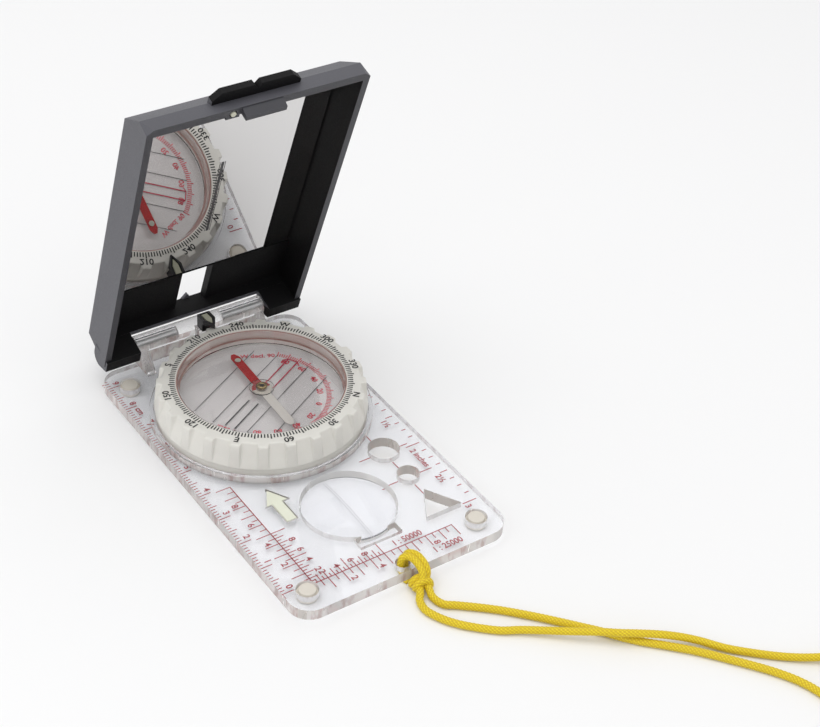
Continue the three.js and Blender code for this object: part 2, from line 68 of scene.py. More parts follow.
# Close in, 37 degrees above the plate, from the front left; place is in metres.
CAMERA = {
    "place": Vector((-0.184902, -0.312616, 0.295836)),
    "right": Vector((0.825127, -0.562308, 0.054548)),
    "up": Vector((0.304951, 0.524591, 0.794864)),
    "lens": 77.265,
}


def make_camera():
    """The camera at the photograph's viewpoint."""
    data = bpy.data.cameras.new("camera")
    data.lens = CAMERA["lens"]
    data.sensor_width = 36.0
    data.clip_start = 0.01
    data.clip_end = 20.0
    camera = in_scene("camera", data)
    right, up = CAMERA["right"], CAMERA["up"]
    turn = Matrix((right, up, right.cross(up))).transposed().to_4x4()
    camera.matrix_world = Matrix.Translation(CAMERA["place"]) @ turn
    bpy.context.scene.camera = camera


# -------- shape helpers


def finish_mesh(bm, name, smooth_angle=35.0):
    """A mesh from bm, smooth except along edges sharper than smooth_angle degrees."""
    bmesh.ops.recalc_face_normals(bm, faces=bm.faces)
    mesh = bpy.data.meshes.new(name)
    bm.to_mesh(mesh)
    bm.free()
    mesh.shade_smooth()
    mesh.set_sharp_from_angle(angle=math.radians(smooth_angle))
    return mesh


def place(name, mesh, body, materials, replaces=(), flatten=True):
    """Links a mesh as a piece that rides on a body; flatten keeps its large faces truly flat."""
    piece = in_scene(name, mesh)
    if flatten:
        weighted = piece.modifiers.new("weighted", "WEIGHTED_NORMAL")
        weighted.weight = 100
        weighted.keep_sharp = True
    for material in materials if isinstance(materials, (list, tuple)) else [materials]:
        mesh.materials.append(material)
    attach(piece, body)
    if replaces:
        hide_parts(*replaces)
    return piece


def rounded_copy(name, node, edge, body, material):
    """Places a copy of one CAD node with its edges rounded, as the piece that replaces it."""
    mesh = finish_mesh(refined(node, edge), name)
    return place(name, mesh, body, material, replaces=(node,))


def scaled(bm, matrix=None):
    """Turns a bmesh made in millimetres into metres, after an optional placing in millimetres."""
    if matrix is not None:
        bmesh.ops.transform(bm, matrix=matrix, verts=bm.verts)
    bmesh.ops.scale(bm, vec=(MM, MM, MM), verts=bm.verts)
    return bm


def refined(node, edge, segments=2, crease=28.0):
    """A copy of a CAD node's mesh, its flat faces merged and its sharp edges rounded by edge mm."""
    bm = bmesh.new()
    bm.from_mesh(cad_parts[node].data)
    bmesh.ops.remove_doubles(bm, verts=bm.verts, dist=2e-6)
    flat = math.radians(0.3)
    bmesh.ops.dissolve_limit(bm, angle_limit=flat, verts=bm.verts, edges=bm.edges)
    limit = math.radians(crease)
    sharp = [e for e in bm.edges if e.is_manifold and e.calc_face_angle() > limit]
    shape = {"offset_type": "OFFSET", "profile": 0.6, "affect": "EDGES", "clamp_overlap": True}
    bmesh.ops.bevel(bm, geom=sharp, offset=edge * MM, segments=segments, **shape)
    return bm


def mark_walls(mesh, slot=1, steepest=0.35):
    """Puts the mesh's upright faces in another material slot, as moulded walls are duller; that slot also
    carries the walls' painted light and shade.
    """
    for face in mesh.polygons:
        if abs(face.normal.z) < steepest:
            face.material_index = slot
    return mesh


def lathe(name, profile, sides=128, centre=(0, 0), smooth_angle=35.0):
    """A solid of revolution from (radius, z) points in mm; it is closed at the axis or on itself."""
    bm = bmesh.new()
    rings = []
    for radius, z in profile:
        if radius < 1e-6:
            rings.append([bm.verts.new((centre[0], centre[1], z))])
            continue
        ring = []
        for i in range(sides):
            angle = TAU * i / sides
            x = centre[0] + radius * math.cos(angle)
            y = centre[1] + radius * math.sin(angle)
            ring.append(bm.verts.new((x, y, z)))
        rings.append(ring)
    pairs = list(zip(rings, rings[1:]))
    if len(rings[0]) > 1:
        pairs.append((rings[-1], rings[0]))
    for low, high in pairs:
        for i in range(sides):
            j = (i + 1) % sides
            corners = [low[i % len(low)], low[j % len(low)], high[j % len(high)], high[i % len(high)]]
            unique = list(dict.fromkeys(corners))
            if len(unique) > 2:
                bm.faces.new(unique)
    return finish_mesh(scaled(bm), name, smooth_angle)


def bridge(bm, first, second):
    """Joins two rings of as many vertices with a band of faces."""
    for i in range(len(first)):
        j = (i + 1) % len(first)
        bm.faces.new((first[i], first[j], second[j], second[i]))


def prism(bm, outline, bottom, top):
    """Adds a closed prism over an outline of (x, y) points."""
    low = [bm.verts.new((x, y, bottom)) for x, y in outline]
    high = [bm.verts.new((x, y, top)) for x, y in outline]
    bm.faces.new(list(reversed(low)))
    bm.faces.new(high)
    bridge(bm, low, high)


def line(bm, start, end, width, z, thick=PRINT_THICK):
    """Adds a printed line as a thin bar between two (x, y) points in mm."""
    a, b = Vector(start), Vector(end)
    side = (b - a).normalized().orthogonal() * (width / 2)
    prism(bm, [a - side, b - side, b + side, a + side], z, z + thick)


CAP_HEIGHT = 0.72  # a capital's height as a share of the font's size


def printed(bm, name, matrix=None):
    """The mesh of a print that was drawn in millimetres."""
    return finish_mesh(scaled(bm, matrix), name, 30)


def glyph_mesh(text, height, stretch=1.0, weight=0.0):
    """A flat mesh of a line of figures, centred on the origin, height mm tall."""
    curve = bpy.data.curves.new("figures", "FONT")
    curve.body = text
    curve.size = height / CAP_HEIGHT
    curve.align_x = "CENTER"
    curve.align_y = "CENTER"
    curve.offset = weight
    curve.resolution_u = 3
    curve.extrude = PRINT_THICK / 2
    holder = in_scene("figures", curve)
    graph = bpy.context.evaluated_depsgraph_get()
    mesh = bpy.data.meshes.new_from_object(holder.evaluated_get(graph))
    bpy.data.objects.remove(holder)
    bpy.data.curves.remove(curve)
    mesh.transform(Matrix.Diagonal((stretch, 1, 1, 1)))
    return mesh


def figures(bm, text, x, y, z, height, heading=0.0, stretch=1.0, weight=0.06):
    """Adds figures centred on (x, y); heading is the reading direction in degrees from +X."""
    mesh = glyph_mesh(text, height, stretch, weight)
    turn = Matrix.Rotation(math.radians(heading), 4, "Z")
    mesh.transform(Matrix.Translation((x, y, z + PRINT_THICK / 2)) @ turn)
    bm.from_mesh(mesh)
    bpy.data.meshes.remove(mesh)


# -------- material helpers


def srgb(red, green, blue):
    """A linear colour from 0-255 screen values."""
    parts = []
    for value in (red, green, blue):
        share = value / 255
        parts.append(share / 12.92 if share <= 0.04045 else ((share + 0.055) / 1.055) ** 2.4)
    return (*parts, 1.0)


def add_node(tree, kind, links=None, **settings):
    """A new node; each setting is one of its attributes or the value of one of its sockets."""
    made = tree.nodes.new(kind)
    for key, value in settings.items():
        if hasattr(made, key):
            setattr(made, key, value)
        else:
            made.inputs[key.replace("_", " ")].default_value = value
    for socket, source in (links or {}).items():
        tree.links.new(source, made.inputs[socket])
    return made


class Surface:
    """A material under construction: its Principled shader and the nodes that feed it."""

    def __init__(self, name, colour, roughness, **sockets):
        self.material = bpy.data.materials.new(name)
        self.material.use_nodes = True
        self.tree = self.material.node_tree
        self.shader = self.tree.nodes["Principled BSDF"]
        for socket, value in {"Base_Color": colour, "Roughness": roughness, **sockets}.items():
            self.shader.inputs[socket.replace("_", " ")].default_value = value
        self.place = self.tree.nodes.new("ShaderNodeTexCoord").outputs["Object"]

    def node(self, kind, links=None, **settings):
        """A new node in this material."""
        return add_node(self.tree, kind, links, **settings)

    def noise(self, size, detail=3.0, roughness=0.55, stretch=(1, 1, 1)):
        """A noise pattern whose features are about size mm across."""
        spread = self.node("ShaderNodeMapping", {"Vector": self.place}, Scale=stretch)
        links = {"Vector": spread.outputs["Vector"]}
        values = {"Scale": 1 / (size * MM), "Detail": detail, "Roughness": roughness}
        return self.node("ShaderNodeTexNoise", links, **values).outputs["Fac"]

    def ramp(self, factor, low, high, first, last):
        """Maps factor from low..high onto first..last."""
        ends = {"From_Min": low, "From_Max": high, "To_Min": first, "To_Max": last}
        return self.node("ShaderNodeMapRange", {"Value": factor}, **ends).outputs["Result"]

    def mix(self, factor, first, last):
        """A colour between first and last, each a colour or a socket."""
        made = self.node("ShaderNodeMix", {"Factor": factor}, data_type="RGBA")
        for socket, value in ((made.inputs[6], first), (made.inputs[7], last)):
            if isinstance(value, bpy.types.NodeSocket):
                self.tree.links.new(value, socket)
            else:
                socket.default_value = value
        return made.outputs[2]

    def feed(self, socket, source):
        """Drives one of the shader's sockets from a node."""
        self.tree.links.new(source, self.shader.inputs[socket])

    def bump(self, height, strength, depth):
        """Bumps the surface by depth mm where height runs from 0 to 1."""
        made = self.node("ShaderNodeBump", {"Height": height}, Strength=strength, Distance=depth * MM)
        self.feed("Normal", made.outputs["Normal"])

    def let_lamps_through(self, tint):
        """Light from lamps passes straight through the clear material."""
        output = self.tree.nodes["Material Output"]
        shadow = self.node("ShaderNodeLightPath").outputs["Is Shadow Ray"]
        through = self.node("ShaderNodeBsdfTransparent", Color=tint).outputs["BSDF"]
        links = {0: shadow, 1: self.shader.outputs["BSDF"], 2: through}
        blend = self.node("ShaderNodeMixShader", links)
        self.tree.links.new(blend.outputs["Shader"], output.inputs["Surface"])


def clear_material(name, colour, ior, roughness, tint, clearness=1.0, shine=0.25):
    """Clear moulded plastic with faint handling marks; less clearness makes it a little milky."""
    sockets = {"Transmission_Weight": clearness, "IOR": ior, "Specular_IOR_Level": shine}
    made = Surface(name, colour, roughness, **sockets)
    marks = made.noise(6.0, detail=5.0)
    made.feed("Roughness", made.ramp(marks, 0.45, 0.75, roughness, roughness + 0.05))
    made.bump(made.noise(9.0, detail=1.0), 0.15, 0.01)
    made.let_lamps_through(tint)
    return made.material


def frosted_material(name, colour, transmission=0.5, roughness=0.3, streaks=0.03, reflection_tint=None):
    """Dull, slightly scattering walls of a clear moulding, with upright marks and, where a second colour is
    given, noise bands of that colour as a painted reflection.
    """
    made = Surface(name, colour, roughness, Transmission_Weight=transmission, IOR=1.49)
    marks = made.noise(3.0, detail=2.0, stretch=(1, 1, 0.2))
    if reflection_tint:
        # Painted reflection: bands of the second colour stand in for the red print reflected inside the
        # walls.
        bands = made.ramp(made.noise(2.2, detail=3.0, stretch=(1, 1, 0.3)), 0.48, 0.62, 0, 1)
        made.feed("Base Color", made.mix(bands, colour, reflection_tint))
    made.feed("Roughness", made.ramp(marks, 0.35, 0.7, roughness - 0.05, roughness + 0.1))
    made.bump(marks, 0.4, streaks)
    made.let_lamps_through((0.93, 0.93, 0.92, 1))
    return made.material


def moulded(name, colour, roughness, grain_size, grain_depth, variation=0.06, shine=0.5):
    """Opaque moulded plastic with a fine grain and a slight unevenness of colour."""
    made = Surface(name, colour, roughness, Specular_IOR_Level=shine)
    darker = tuple(c * (1 - variation) for c in colour[:3]) + (1.0,)
    patches = made.noise(7.0, detail=4.0)
    made.feed("Base Color", made.mix(made.ramp(patches, 0.35, 0.7, 0, 1), colour, darker))
    grain = made.noise(grain_size, detail=2.0)
    made.feed("Roughness", made.ramp(grain, 0.3, 0.7, roughness - 0.06, roughness + 0.08))
    made.bump(grain, 0.5, grain_depth)
    return made.material


def ink(name, colour, fade=0.25):
    """Printed ink, a little uneven in strength."""
    made = Surface(name, colour, 0.5)
    paler = tuple(c + (1 - c) * fade for c in colour[:3]) + (1.0,)
    strength = made.ramp(made.noise(0.7), 0.4, 0.75, 0, 1)
    made.feed("Base Color", made.mix(strength, colour, paler))
    return made.material


def metal(name, colour, roughness):
    """Turned metal with fine marks."""
    made = Surface(name, colour, roughness, Metallic=1.0)
    marks = made.noise(0.25, detail=2.0, stretch=(0.1, 1, 1))
    made.feed("Roughness", made.ramp(marks, 0.3, 0.7, roughness - 0.04, roughness + 0.04))
    return made.material


def cord_material():
    """Braided polypropylene: the crowns painted brighter as a painted highlight, the furrows between them
    painted a darker yellow as painted shade, fine filaments.
    """
    made = Surface("cord_braid", srgb(232, 200, 30), 0.6, Sheen_Weight=0.1)
    crown = made.node("ShaderNodeAttribute", attribute_name="crown").outputs["Fac"]
    # Painted highlight on the crowns and painted shade in the furrows, driven by the braid's crown height.
    yarn = made.mix(made.ramp(crown, 0.45, 0.95, 0, 1), srgb(206, 172, 4), srgb(250, 234, 40))
    patches = made.ramp(made.noise(3.0), 0.35, 0.7, 0, 0.35)
    made.feed("Base Color", made.mix(patches, yarn, srgb(216, 186, 8)))
    made.bump(made.noise(0.12, detail=2.0), 0.5, 0.06)
    return made.material


# -------- neck cord

CORD_RADIUS = 1.0
BRAID = {"pitch": 1.0, "columns": 7, "depth": 0.17, "fullness": 0.55, "around": 20, "step": 0.2}
BRAID_SMOOTH = 80  # degrees, the braid's furrows shade smoothly up to this

# The strands' points from the knot to the coil; the left one crosses over the right.
STRAND_LEFT = [
    (0.2, -73.5, 0.9), (-1.0, -75.7, 0.5), (-2.2, -77.4, -0.15), (-2.7, -80.2, -0.2),
    (-1.9, -83.0, -0.2), (0.0, -86.5, -0.2), (3.1, -90.2, -0.2), (8.2, -94.8, -0.2),
    (12.4, -97.5, 0.1), (16.0, -100.3, 0.5), (21.3, -104.8, 1.3), (26.7, -109.0, 1.95),
    (30.4, -111.9, 2.15), (34.4, -114.4, 2.05), (38.5, -116.8, 1.65), (42.4, -119.4, 1.1),
    (46.1, -122.4, 0.4), (51.2, -128.0, -0.2), (60.0, -136.0, -0.2), (67.5, -141.6, 0.6),
    (75.0, -146.3, 2.2),
]
STRAND_RIGHT = [
    (1.4, -73.5, 0.9), (1.6, -75.5, 0.5), (1.2, -77.3, -0.1), (1.3, -79.2, -0.2),
    (2.2, -81.3, -0.2), (4.6, -83.1, -0.2), (8.9, -86.6, -0.2), (12.4, -89.7, -0.2),
    (15.7, -93.0, -0.2), (19.0, -96.5, -0.2), (22.2, -100.1, -0.2), (25.3, -103.7, -0.2),
    (28.4, -107.3, -0.2), (31.3, -111.2, -0.2), (34.4, -114.8, -0.2), (37.8, -118.1, -0.2),
    (41.1, -121.4, -0.2), (44.2, -124.7, -0.2), (48.9, -130.5, -0.2), (54.9, -138.5, -0.2),
    (58.5, -145.4, -0.2), (60.6, -154.0, -0.2),
]
COIL = {"x": 77.6, "y": -161.4, "outer": 14.0, "inner": 8.0, "turns": 7.74, "start": 180.0}
COIL_STEPS = 24  # route points in each turn
COIL_LAYER = {"low": -0.2, "rise": 1.95, "rise_start": 0.47, "rise_share": 0.06}
COIL_HUMP = {"height": 0.95, "half_width": 40.0}  # the turns ride up under the tie; width in degrees
LOOP_ROUTE = [
    (1.0, -73.5, 0.9), (1.6, -73.5, 2.2), (2.1, -72.8, 3.5), (2.2, -71.7, 4.4), (2.1, -70.2, 5.0),
    (1.8, -68.6, 5.2), (1.0, -67.2, 5.0), (0.1, -66.8, 4.2), (-0.2, -66.9, 3.0), (-0.2, -67.0, 1.5),
    (-0.2, -67.1, 0.0), (-0.1, -67.6, -1.2), (0.1, -68.8, -1.35), (0.3, -70.2, -1.35),
]
LOOP_SPREAD = 0.8  # the loop is doubled; its two cords lie this far to each side of the route
LOOP_LEVEL = Vector((1, 0.35, 0))  # the loop's two cords lie side by side along this
UNDER_PLATE = {"level": -0.3, "squash": 0.42}
KNOT = {"x": 0.8, "y": -73.0, "z": 0.75}
KNOT_WRAP = {"half_x": 1.8, "half_z": 1.4, "turns": 2.2, "pitch": 1.6, "steps": 28}
TIE = {"z": 1.375, "half_z": 2.075, "clear": 0.35, "half_width": 1.5, "rounding": 0.15, "thick": 0.45}
TIE_SIDES = 48
TIE_SQUARENESS = 6  # the strap's loop is a superellipse of this power


def catmull(points, step=BRAID["step"]):
    """Evenly spaced points, step apart, on a smooth curve through the given ones."""
    points = [Vector(point) for point in points]
    ends = [2 * points[0] - points[1], *points, 2 * points[-1] - points[-2]]
    dense = []
    for p0, p1, p2, p3 in zip(ends, ends[1:], ends[2:], ends[3:]):
        count = max(2, int((p2 - p1).length / step * 3))
        for i in range(count):
            t = i / count
            bent = (2 * p0 - 5 * p1 + 4 * p2 - p3) * t**2 + (3 * p1 - p0 - 3 * p2 + p3) * t**3
            dense.append(0.5 * (2 * p1 + (p2 - p0) * t + bent))
    dense.append(points[-1].copy())
    even = [dense[0]]
    gone = 0.0
    for a, b in zip(dense, dense[1:]):
        length = (b - a).length
        while length > 0 and gone + length >= step:
            a = a.lerp(b, (step - gone) / length)
            length = (b - a).length
            even.append(a.copy())
            gone = 0.0
        gone += length
    return even


def smooth_step(t):
    """Eases from 0 to 1 as t goes from 0 to 1."""
    t = max(0.0, min(1.0, t))
    return t * t * (3 - 2 * t)


def coil_points():
    """The coil in mm: inwards along the lower layer, then outwards along the upper one."""
    points = []
    total = int(COIL["turns"] * COIL_STEPS)
    for i in range(total + 1):
        share = i / total
        inwards = 1 - abs(1 - 2 * share)
        radius = COIL["outer"] + (COIL["inner"] - COIL["outer"]) * inwards
        angle = COIL["start"] + 360.0 * i / COIL_STEPS
        off_tie = abs((angle + 180) % 360 - 180) / COIL_HUMP["half_width"]
        risen = smooth_step((share - COIL_LAYER["rise_start"]) / COIL_LAYER["rise_share"])
        z = COIL_LAYER["low"] + COIL_HUMP["height"] * smooth_step(1 - off_tie)
        z += COIL_LAYER["rise"] * risen
        turn = math.radians(angle)
        x = COIL["x"] + radius * math.cos(turn)
        y = COIL["y"] + radius * math.sin(turn)
        points.append((x, y, z))
    return points


def braided_tube(bm, path):
    """Adds a braided cord along path: yarn crowns stand out between diagonal furrows."""
    crown_layer = bm.verts.layers.float.get("crown") or bm.verts.layers.float.new("crown")
    around = BRAID["around"]
    normal = (path[1] - path[0]).orthogonal().normalized()
    previous = None
    for i, point in enumerate(path):
        ahead = path[min(i + 1, len(path) - 1)]
        behind = path[max(i - 1, 0)]
        tangent = (ahead - behind).normalized()
        normal = (normal - tangent * normal.dot(tangent)).normalized()
        across = tangent.cross(normal)
        along = math.pi * i * BRAID["step"] / BRAID["pitch"]
        ring = []
        for j in range(around):
            angle = TAU * j / around
            half = angle * BRAID["columns"] / 2
            crown = abs(math.cos(half + along) * math.cos(half - along)) ** BRAID["fullness"]
            reach = CORD_RADIUS - BRAID["depth"] * (1 - crown)
            outwards = math.cos(angle) * normal + math.sin(angle) * across
            vert = bm.verts.new(point + reach * outwards)
            vert[crown_layer] = crown
            ring.append(vert)
        if previous:
            bridge(bm, previous, ring)
        else:
            bm.faces.new(list(reversed(ring)))
        previous = ring
    bm.faces.new(previous)


def side_by_side(points, spread):
    """Two routes beside a route, offset level across it."""
    routes = ([], [])
    for i, point in enumerate(points):
        ahead = points[min(i + 1, len(points) - 1)] - points[max(i - 1, 0)]
        leaning = ahead * (LOOP_LEVEL.dot(ahead) / ahead.length_squared)
        across = (LOOP_LEVEL - leaning).normalized()
        routes[0].append(point - across * spread)
        routes[1].append(point + across * spread)
    return routes


def pressed_flat(bm):
    """Flattens what lies lowest, by the plate's foot or under it, into the gap over the floor."""
    level = UNDER_PLATE["level"]
    for vert in bm.verts:
        if vert.co.z < level:
            vert.co.z = level + UNDER_PLATE["squash"] * (vert.co.z - level)


def knot_route():
    """The turns that wrap the two strands just in front of the plate."""
    points = []
    wrap = KNOT_WRAP
    for i in range(wrap["steps"] + 1):
        turns = wrap["turns"] * (i / wrap["steps"] - 0.5)
        x = KNOT["x"] + wrap["half_x"] * math.cos(TAU * turns)
        z = KNOT["z"] + wrap["half_z"] * math.sin(TAU * turns)
        points.append((x, KNOT["y"] + wrap["pitch"] * turns, z))
    return points


def tie_mesh():
    """A soft strap once round the coil's turns, on its +X side."""
    middle = (COIL["outer"] + COIL["inner"]) / 2
    half_r = (COIL["outer"] - COIL["inner"]) / 2 + CORD_RADIUS + TIE["clear"]
    edge, shoulder = TIE["half_width"], TIE["half_width"] - TIE["rounding"]
    section = [(-edge, 0), (-shoulder, TIE["thick"]), (shoulder, TIE["thick"]), (edge, 0)]
    bm = bmesh.new()
    rings = []
    for i in range(TIE_SIDES):
        angle = TAU * i / TIE_SIDES
        c, s = math.cos(angle), math.sin(angle)
        reach = (abs(c) ** TIE_SQUARENESS + abs(s) ** TIE_SQUARENESS) ** (-1 / TIE_SQUARENESS)
        ring = []
        for width, thick in section:
            out = middle + (half_r + thick) * reach * c
            z = TIE["z"] + (TIE["half_z"] + thick) * reach * s
            ring.append(bm.verts.new((COIL["x"] + out, COIL["y"] + width, z)))
        rings.append(ring)
    for ring, after in zip(rings, [*rings[1:], rings[0]]):
        bridge(bm, ring, after)
    return finish_mesh(scaled(bm), "coil_tie", 50)


def braided_piece(name, paths, replaces, material, pressed=False):
    """Places one piece made of a braided cord along each path, pressed flat where asked."""
    bm = bmesh.new()
    for path in paths:
        braided_tube(bm, path)
    if pressed:
        pressed_flat(bm)
    mesh = finish_mesh(scaled(bm), name, BRAID_SMOOTH)
    return place(name, mesh, "base", material, replaces=replaces, flatten=False)


def make_cord():
    """The neck cord: its strands and coil, the loop through the plate, the knot and the tie."""
    yellow = cord_material()
    path = catmull([*STRAND_RIGHT, *coil_points(), *reversed(STRAND_LEFT)])
    laid_out = ("cord_strand_left", "cord_strand_right", "cord_coil")
    cord = braided_piece("neck_cord", [path], laid_out, yellow)
    beside = side_by_side([Vector(point) for point in LOOP_ROUTE], LOOP_SPREAD)
    doubled = [catmull(route) for route in beside]
    loop = braided_piece("neck_loop", doubled, ("cord_loop",), yellow, pressed=True)
    knot = braided_piece("neck_knot", [catmull(knot_route())], ("cord_knot",), yellow, pressed=True)
    webbing = moulded("tie_webbing", srgb(40, 40, 44), 0.8, 0.35, 0.12)
    tie = place("tie_strap", tie_mesh(), "base", webbing, replaces=("coil_tie",))


# -------- base plate

EDGE_SCALE = {"x": -29.7, "zero": -60.13, "last": 94, "lengths": (1.1, 2.05, 3.15), "width": 0.26}
CM_FIGURE = (2.7, 1.45)  # how far a figure lies in from the edge and beyond its tick
CM_NAME = (2.85, 77.6)
ZERO_MARK = {"x": 0.1, "y": -1.6, "width": 0.15}
INCH_SCALE = {"x": 29.58, "three": -56.05, "eighth": 3.175, "lengths": (1.35, 2.18, 4.18), "width": 0.3}
INCH_COUNT = 24  # eighths
INCH_FIGURE = {"in": 3.4, "stretch": 0.95}
# figures on the inch ruler: eighths from the front, and how far the text's middle lies before that
INCH_NAMES = {
    "0": (24, 1.4), "½": (20, 1.4), "1": (16, 1.4), "1½": (12, 1.9),
    "2 inches": (8, 5.2), "2½": (4, 1.9), "3": (0, 1.4),
}
ROMER = {"x": -21.46, "y": -60.85, "units": 10, "width": 0.3, "tick_width": 0.27}
ROMER_COARSE = 4.0  # mm to a kilometre on a 1:25000 map
ROMER_FINE = 2.0  # mm to a kilometre on a 1:50000 map
ROMER_TICK = {"half": 1.85, "whole": 3.7, "key": 4.0, "fine_share": 0.66}
# the step from figure to figure and the figures' shift, for the upright and then the level sides
ROMER_FIGURES = [
    ((0, ROMER_COARSE), (-2.6, 1.1)), ((0, ROMER_FINE), (3.45, -0.2)),
    ((ROMER_COARSE, 0), (1.4, -3.3)), ((ROMER_FINE, 0), (-0.2, 2.4)),
]
CROSSHAIRS = [
    ((11.8, -29.3), (15.5, -29.3)), ((19.0, -21.3), (19.0, -24.9)), ((19.2, -33.7), (19.2, -37.4)),
    ((23.7, -29.4), (26.6, -29.4)), ((11.25, -40.7), (16.2, -40.7)), ((19.2, -43.8), (19.2, -47.8)),
    ((22.4, -40.6), (26.65, -40.6)),
]
CROSSHAIR_WIDTH = 0.3
SIDEWAYS = -90.0  # text that is read from the compass's left side
FIGURE = 1.75
SCALE_NAME = {"height": 1.9, "stretch": 0.85}
SCALE_NAMES = {"1 : 50000": (6.4, -59.15), "1 : 25000": (13.7, -66.25)}


def tick_length(count, whole, half, lengths):
    """The length of a ruler's tick: long at every whole, middling at every half, or short."""
    short, middle, long = lengths
    if count % whole == 0:
        return long
    return middle if count % half == 0 else short


def centimetre_scale(bm):
    """The ruler along the plate's left edge."""
    x, zero = EDGE_SCALE["x"], EDGE_SCALE["zero"]
    for millimetre in range(EDGE_SCALE["last"] + 1):
        length = tick_length(millimetre, 10, 5, EDGE_SCALE["lengths"])
        y = zero + millimetre
        line(bm, (x, y), (x + length, y), EDGE_SCALE["width"], PRINT_Z)
    for number in range(10):
        y = zero + 10 * number + CM_FIGURE[1]
        figures(bm, str(number), x + CM_FIGURE[0], y, PRINT_Z, FIGURE, SIDEWAYS)
    figures(bm, "cm", x + CM_NAME[0], zero + CM_NAME[1], PRINT_Z, FIGURE, SIDEWAYS)
    line(bm, (x, zero), (x + ZERO_MARK["x"], zero + ZERO_MARK["y"]), ZERO_MARK["width"], PRINT_Z)


def inch_scale(bm):
    """The ruler along the plate's right edge, in eighths from 3 at the front to 0."""
    x, eighth = INCH_SCALE["x"], INCH_SCALE["eighth"]
    for count in range(INCH_COUNT + 1):
        y = INCH_SCALE["three"] + count * eighth
        length = tick_length(count, 8, 4, INCH_SCALE["lengths"])
        line(bm, (x - length, y), (x, y), INCH_SCALE["width"], PRINT_Z)
    for text, (count, before) in INCH_NAMES.items():
        y = INCH_SCALE["three"] + count * eighth - before
        figures(bm, text, x - INCH_FIGURE["in"], y, PRINT_Z, FIGURE, SIDEWAYS, INCH_FIGURE["stretch"])


def romer_side(bm, along, outwards, unit):
    """One side of the map-scale corner: ten units with a tick at each half unit."""
    last = 2 * ROMER["units"]
    for count in range(1, last + 1):
        key = count in (last // 2, last)
        length = ROMER_TICK["key"] if key else ROMER_TICK["half" if count % 2 else "whole"]
        if unit == ROMER_FINE and not key:
            length *= ROMER_TICK["fine_share"]
        distance = count * unit / 2
        start = (ROMER["x"] + along[0] * distance, ROMER["y"] + along[1] * distance)
        end = (start[0] + outwards[0] * length, start[1] + outwards[1] * length)
        line(bm, start, end, ROMER["tick_width"], PRINT_Z)


def romer(bm):
    """The right-angled reading scales for 1:25000 (outside) and 1:50000 (inside) maps."""
    x, y = ROMER["x"], ROMER["y"]
    reach = ROMER["units"] * ROMER_COARSE + 0.1
    line(bm, (x, y - 0.1), (x, y + reach), ROMER["width"], PRINT_Z)
    line(bm, (x - 0.1, y), (x + reach, y), ROMER["width"], PRINT_Z)
    for along, outside in (((0, 1), (-1, 0)), ((1, 0), (0, -1))):
        inside = (-outside[0], -outside[1])
        romer_side(bm, along, outside, ROMER_COARSE)
        romer_side(bm, along, inside, ROMER_FINE)
    for step, shift in ROMER_FIGURES:
        for number in (2, 4, 6, 8):
            across = x + step[0] * number + shift[0]
            up = y + step[1] * number + shift[1]
            figures(bm, str(number), across, up, PRINT_Z, FIGURE, SIDEWAYS)
    for text, (across, up) in SCALE_NAMES.items():
        figures(bm, text, across, up, PRINT_Z, SCALE_NAME["height"], 0, SCALE_NAME["stretch"])


def plate_print():
    """All that is printed in red on the plate's underside."""
    bm = bmesh.new()
    centimetre_scale(bm)
    inch_scale(bm)
    romer(bm)
    for start, end in CROSSHAIRS:
        line(bm, start, end, CROSSHAIR_WIDTH, PRINT_Z)
    return printed(bm, "plate_print")


LENS = {"y": -42.6, "radius": 12.0, "rim": 1.4, "dome": 3.0, "round": 0.15}
LENS_LINE = {"half": 11.2, "apart": 0.3, "width": 0.12}
FEET = {
    "front_left": (-24.55, -62.9), "front_right": (24.55, -62.9),
    "rear_left": (-24.55, 27.35), "rear_right": (24.55, 27.35),
}
FOOT_PROFILE = [
    (0.0, -1.2), (1.9, -1.2), (2.3, -1.1), (2.6, -0.8), (2.74, 0.2), (2.74, 1.9), (2.6, 2.1),
    (2.2, 2.15), (2.15, 2.8), (2.05, 2.96), (1.85, 3.0), (0.0, 2.96),
]
FOOT_SEAT = 3.4  # radius that holds a foot's hole
BEZEL_SEAT = (27.5, 29.8)  # radii that hold the rim round the bezel


def mark_plate_walls(mesh, outer, seat):
    """Gives slots to the walls outside and round the bezel, and to those round lens and feet, which take
    lighter tones of painted light.
    """
    low, high = BEZEL_SEAT
    seats = [((0, LENS["y"]), LENS["radius"] + 0.5)]
    seats += [(centre, FOOT_SEAT) for centre in FEET.values()]
    for face in mesh.polygons:
        if not face.material_index:
            continue
        spot = face.center.xy / MM
        x, y = spot
        outside = abs(x) > PLATE_EDGE["x"] or y < PLATE_EDGE["front"] or y > PLATE_EDGE["back"]
        if any((spot - Vector(centre)).length < reach for centre, reach in seats):
            face.material_index = seat
        elif outside or low < spot.length < high:
            face.material_index = outer


def make_plate(walls, rims, seat):
    """The clear plate and the scales printed under it."""
    tint = (0.96, 0.965, 0.97, 1)
    acrylic = clear_material("clear_acrylic", (0.945, 0.95, 0.968, 1), 1.49, 0.02, tint, 0.95)
    mesh = mark_walls(finish_mesh(refined("base_plate", 0.3), "plate"))
    mark_plate_walls(mesh, 2, 3)
    materials = [acrylic, walls, rims, seat]
    place("plate", mesh, "base", materials, replaces=("base_plate",))
    place("plate_print", plate_print(), "base", ink("ruler_ink", srgb(166, 10, 32), 0.08))


def lens_mesh():
    """A low dome that rises from its rim to the plate's top, flush with the plate's underside."""
    radius, rim, edge = LENS["radius"], LENS["rim"], LENS["round"]
    profile = [(0.0, 0.0), (radius - edge, 0.0), (radius, edge), (radius, rim - edge)]
    steps = 24
    for i in range(steps + 1):
        r = (radius - edge) * (1 - i / steps)
        profile.append((r, LENS["dome"] - (LENS["dome"] - rim) * (r / radius) ** 2))
    return lathe("lens", profile, 128, (0, LENS["y"]), 50)


